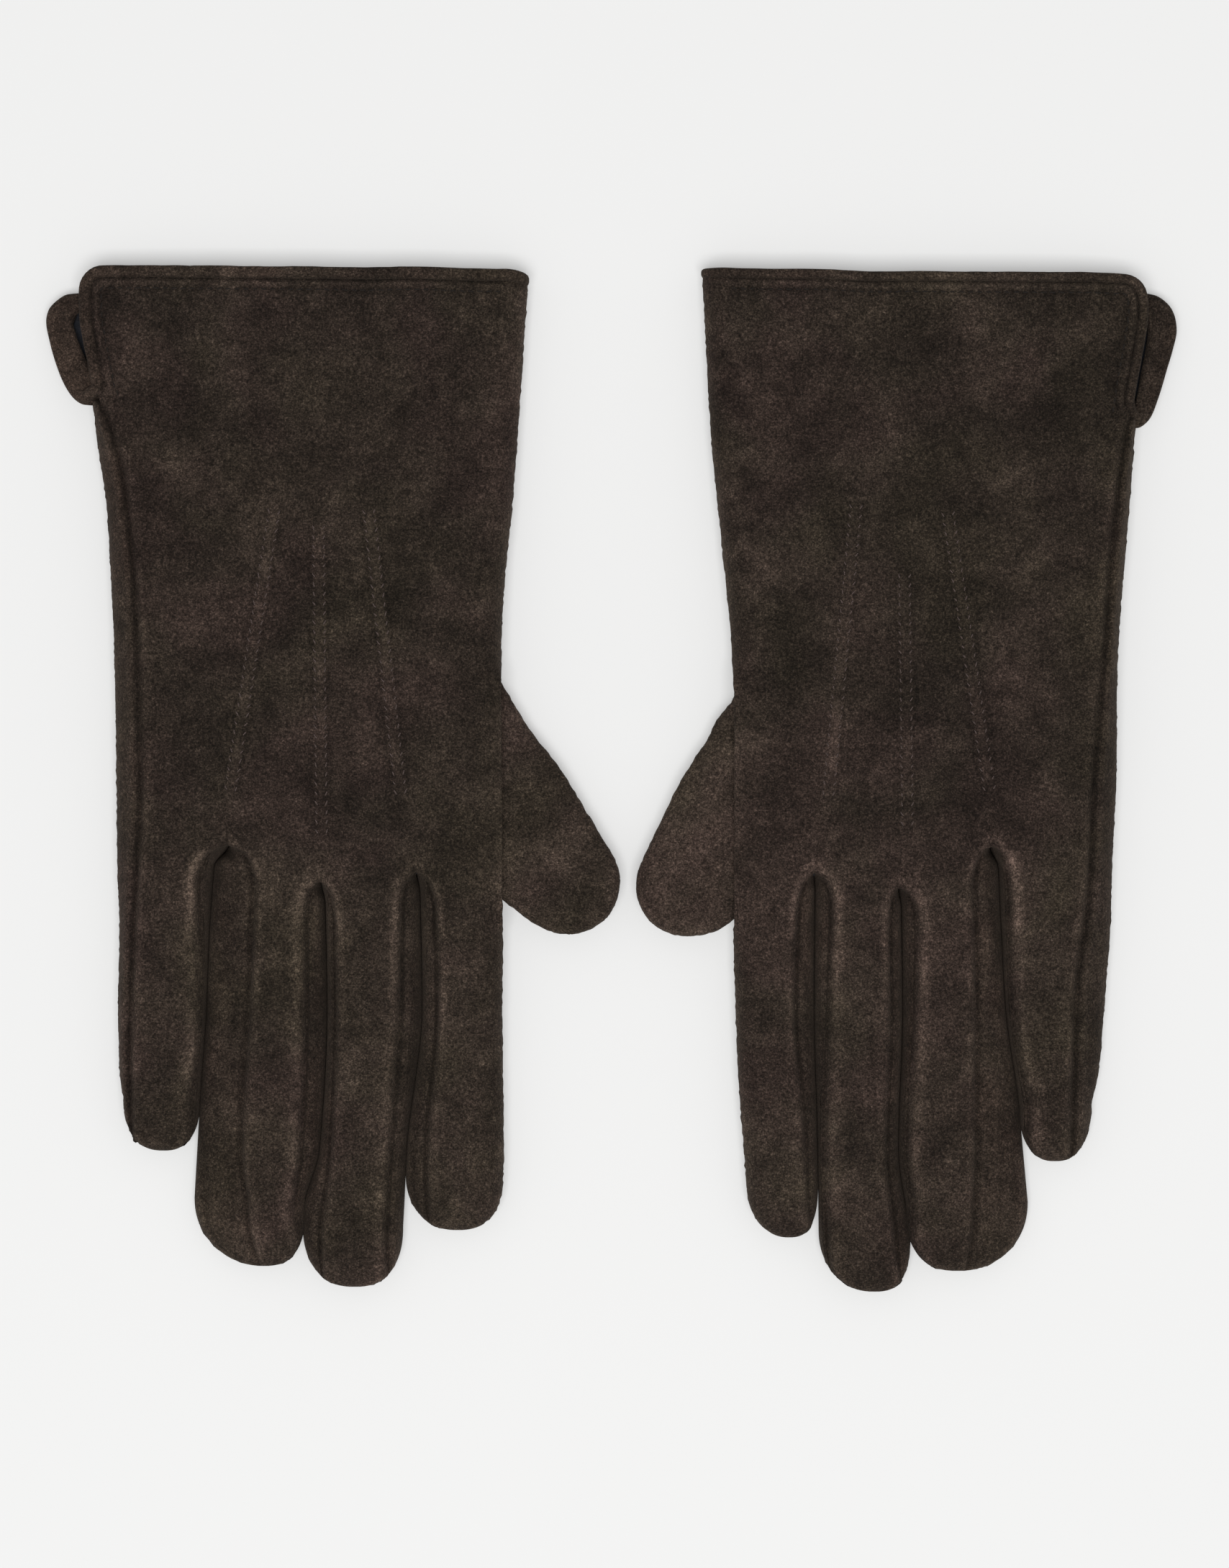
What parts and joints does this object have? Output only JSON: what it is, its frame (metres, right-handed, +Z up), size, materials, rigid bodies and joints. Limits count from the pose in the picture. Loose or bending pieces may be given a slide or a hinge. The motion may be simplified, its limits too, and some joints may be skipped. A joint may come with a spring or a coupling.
{
  "type": "pair of leather gloves",
  "caption": "Lined suede dress gloves laid palm down, with jointed fingers and thumbs, bound cuffs with side vents, and stitched points on the backs.",
  "frame": {"origin": "middle of the pair's footprint, on the surface that the palms rest on", "axes": "+X from the right-hand glove to the left-hand glove, +Y from the fingertips to the cuffs, +Z up out of the backs of the hands"},
  "size_m": [0.2777, 0.2513, 0.0146],
  "materials": {
    "suede": "napped suede, matt",
    "suede_side": "napped suede, matt, seen edge-on in the folds",
    "fleece": "knitted fleece lining, matt",
    "thread": "twisted sewing thread, slight sheen"
  },
  "bodies": {
    "right_hand": {"right_back_panel": "suede", "right_palm_panel": "suede_side", "right_hand_lining": "fleece", "right_cuff_binding": "suede_side", "right_hem_stitching": "thread", "right_point_stitching": "thread"},
    "right_index_root": {"right_index_base": "suede", "right_index_base_fourchettes": "suede_side", "right_index_lining": "fleece"},
    "right_index_end": {"right_index_tip": "suede", "right_index_tip_fourchettes": "suede_side"},
    "right_middle_root": {"right_middle_base": "suede", "right_middle_base_fourchettes": "suede_side", "right_middle_lining": "fleece"},
    "right_middle_end": {"right_middle_tip": "suede", "right_middle_tip_fourchettes": "suede_side"},
    "right_ring_root": {"right_ring_base": "suede", "right_ring_base_fourchettes": "suede_side", "right_ring_lining": "fleece"},
    "right_ring_end": {"right_ring_tip": "suede", "right_ring_tip_fourchettes": "suede_side"},
    "right_little_root": {"right_little_base": "suede", "right_little_base_fourchettes": "suede_side", "right_little_lining": "fleece"},
    "right_little_end": {"right_little_tip": "suede", "right_little_tip_fourchettes": "suede_side"},
    "right_thumb_root": {"right_thumb_base": "suede", "right_thumb_lining": "fleece"},
    "right_thumb_end": {"right_thumb_tip": "suede"},
    "right_vent": {"right_vent_flap": "suede_side"},
    "left_hand": {"left_back_panel": "suede", "left_palm_panel": "suede_side", "left_hand_lining": "fleece", "left_cuff_binding": "suede_side", "left_hem_stitching": "thread", "left_point_stitching": "thread"},
    "left_index_root": {"left_index_base": "suede", "left_index_base_fourchettes": "suede_side", "left_index_lining": "fleece"},
    "left_index_end": {"left_index_tip": "suede", "left_index_tip_fourchettes": "suede_side"},
    "left_middle_root": {"left_middle_base": "suede", "left_middle_base_fourchettes": "suede_side", "left_middle_lining": "fleece"},
    "left_middle_end": {"left_middle_tip": "suede", "left_middle_tip_fourchettes": "suede_side"},
    "left_ring_root": {"left_ring_base": "suede", "left_ring_base_fourchettes": "suede_side", "left_ring_lining": "fleece"},
    "left_ring_end": {"left_ring_tip": "suede", "left_ring_tip_fourchettes": "suede_side"},
    "left_little_root": {"left_little_base": "suede", "left_little_base_fourchettes": "suede_side", "left_little_lining": "fleece"},
    "left_little_end": {"left_little_tip": "suede", "left_little_tip_fourchettes": "suede_side"},
    "left_thumb_root": {"left_thumb_base": "suede", "left_thumb_lining": "fleece"},
    "left_thumb_end": {"left_thumb_tip": "suede"},
    "left_vent": {"left_vent_flap": "suede_side"}
  },
  "joints": [
    {"name": "right_index_knuckle", "type": "hinge", "parent": "right_hand", "child": "right_index_root", "pos_m": [-0.037, -0.034, 0.003], "axis": [1, 0, 0], "range_deg": [-20, 90]},
    {"name": "right_index_middle_joint", "type": "hinge", "parent": "right_index_root", "child": "right_index_end", "pos_m": [-0.0383, -0.066, 0.003], "axis": [1, 0, 0], "range_deg": [0, 90], "deforming": ["right_index_lining"]},
    {"name": "right_middle_knuckle", "type": "hinge", "parent": "right_hand", "child": "right_middle_root", "pos_m": [-0.0589, -0.034, 0.003], "axis": [1, 0, 0], "range_deg": [-20, 90]},
    {"name": "right_middle_middle_joint", "type": "hinge", "parent": "right_middle_root", "child": "right_middle_end", "pos_m": [-0.0612, -0.07, 0.003], "axis": [1, 0, 0], "range_deg": [0, 90], "deforming": ["right_middle_lining"]},
    {"name": "right_ring_knuckle", "type": "hinge", "parent": "right_hand", "child": "right_ring_root", "pos_m": [-0.0846, -0.034, 0.003], "axis": [1, 0, 0], "range_deg": [-20, 90]},
    {"name": "right_ring_middle_joint", "type": "hinge", "parent": "right_ring_root", "child": "right_ring_end", "pos_m": [-0.0864, -0.068, 0.003], "axis": [1, 0, 0], "range_deg": [0, 90], "deforming": ["right_ring_lining"]},
    {"name": "right_little_knuckle", "type": "hinge", "parent": "right_hand", "child": "right_little_root", "pos_m": [-0.1099, -0.027, 0.003], "axis": [1, 0, 0], "range_deg": [-20, 90]},
    {"name": "right_little_middle_joint", "type": "hinge", "parent": "right_little_root", "child": "right_little_end", "pos_m": [-0.1102, -0.056, 0.003], "axis": [1, 0, 0], "range_deg": [0, 90], "deforming": ["right_little_lining"]},
    {"name": "right_thumb_swing", "type": "hinge", "parent": "right_hand", "child": "right_thumb_root", "pos_m": [-0.0392, -0.0015, 0.005], "axis": [0, 0, 1], "range_deg": [-6, 12]},
    {"name": "right_thumb_bend", "type": "hinge", "parent": "right_thumb_root", "child": "right_thumb_end", "pos_m": [-0.01852, -0.01886, 0.003], "axis": [0.6428, 0.766, 0], "range_deg": [0, 80], "deforming": ["right_thumb_lining"]},
    {"name": "right_vent_fold", "type": "hinge", "parent": "right_hand", "child": "right_vent", "pos_m": [-0.1298, 0.105, 0.0026], "axis": [0, 1, 0], "range_deg": [0, 90]},
    {"name": "left_index_knuckle", "type": "hinge", "parent": "left_hand", "child": "left_index_root", "pos_m": [0.0399, -0.034, 0.003], "axis": [1, 0, 0], "range_deg": [-20, 90]},
    {"name": "left_index_middle_joint", "type": "hinge", "parent": "left_index_root", "child": "left_index_end", "pos_m": [0.0409, -0.066, 0.003], "axis": [1, 0, 0], "range_deg": [0, 90], "deforming": ["left_index_lining"]},
    {"name": "left_middle_knuckle", "type": "hinge", "parent": "left_hand", "child": "left_middle_root", "pos_m": [0.0606, -0.034, 0.003], "axis": [1, 0, 0], "range_deg": [-20, 90]},
    {"name": "left_middle_middle_joint", "type": "hinge", "parent": "left_middle_root", "child": "left_middle_end", "pos_m": [0.0617, -0.07, 0.003], "axis": [1, 0, 0], "range_deg": [0, 90], "deforming": ["left_middle_lining"]},
    {"name": "left_ring_knuckle", "type": "hinge", "parent": "left_hand", "child": "left_ring_root", "pos_m": [0.0839, -0.034, 0.003], "axis": [1, 0, 0], "range_deg": [-20, 90]},
    {"name": "left_ring_middle_joint", "type": "hinge", "parent": "left_ring_root", "child": "left_ring_end", "pos_m": [0.0857, -0.068, 0.003], "axis": [1, 0, 0], "range_deg": [0, 90], "deforming": ["left_ring_lining"]},
    {"name": "left_little_knuckle", "type": "hinge", "parent": "left_hand", "child": "left_little_root", "pos_m": [0.1097, -0.027, 0.003], "axis": [1, 0, 0], "range_deg": [-20, 90]},
    {"name": "left_little_middle_joint", "type": "hinge", "parent": "left_little_root", "child": "left_little_end", "pos_m": [0.1096, -0.056, 0.003], "axis": [1, 0, 0], "range_deg": [0, 90], "deforming": ["left_little_lining"]},
    {"name": "left_thumb_swing", "type": "hinge", "parent": "left_hand", "child": "left_thumb_root", "pos_m": [0.0433, -0.001, 0.005], "axis": [0, 0, -1], "range_deg": [-2, 8]},
    {"name": "left_thumb_bend", "type": "hinge", "parent": "left_thumb_root", "child": "left_thumb_end", "pos_m": [0.02438, -0.02026, 0.003], "axis": [0.7133, -0.7009, 0], "range_deg": [0, 80], "deforming": ["left_thumb_lining"]},
    {"name": "left_vent_fold", "type": "hinge", "parent": "left_hand", "child": "left_vent", "pos_m": [0.1323, 0.105, 0.0026], "axis": [0, -1, 0], "range_deg": [0, 90]},
    {"name": "left_glove_lift", "type": "slide", "parent": "right_hand", "child": "left_hand", "axis": [0, 0, 1], "range_m": [0, 0.1]}
  ]
}
